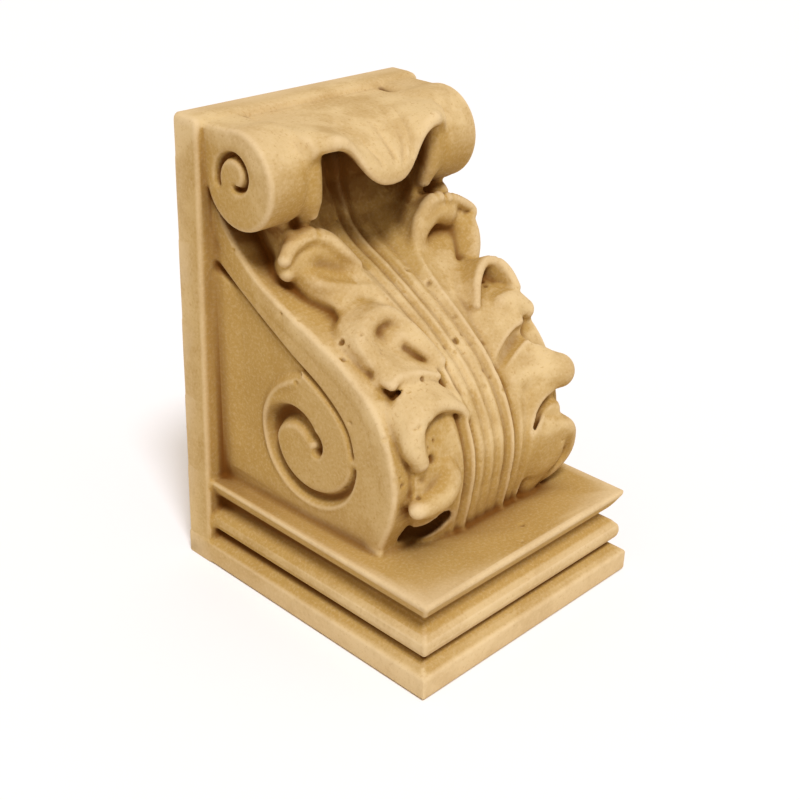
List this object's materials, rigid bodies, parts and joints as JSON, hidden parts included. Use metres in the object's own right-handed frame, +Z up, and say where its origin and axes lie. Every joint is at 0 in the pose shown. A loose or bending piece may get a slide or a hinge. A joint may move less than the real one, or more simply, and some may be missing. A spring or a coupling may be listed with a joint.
{
  "type": "resin corbel",
  "caption": "Cast corbel with a stepped slab, a wall plate, side spirals and an acanthus leaf that turns over between two small scrolls.",
  "frame": {"origin": "middle of the underside, which is the slab's flat outer face, midway between the wall face and the front edge", "axes": "+Z up as the corbel stands in the picture, from the slab to the scrolls; +Y toward the wall, out of the flat back; +X to the right of someone who faces the carved front"},
  "size_m": [0.1634, 0.1826, 0.25],
  "materials": {
    "cast_stone": "matt, sandy, with small cast pits"
  },
  "bodies": {
    "root": {"corbel": "cast_stone"}
  },
  "joints": []
}
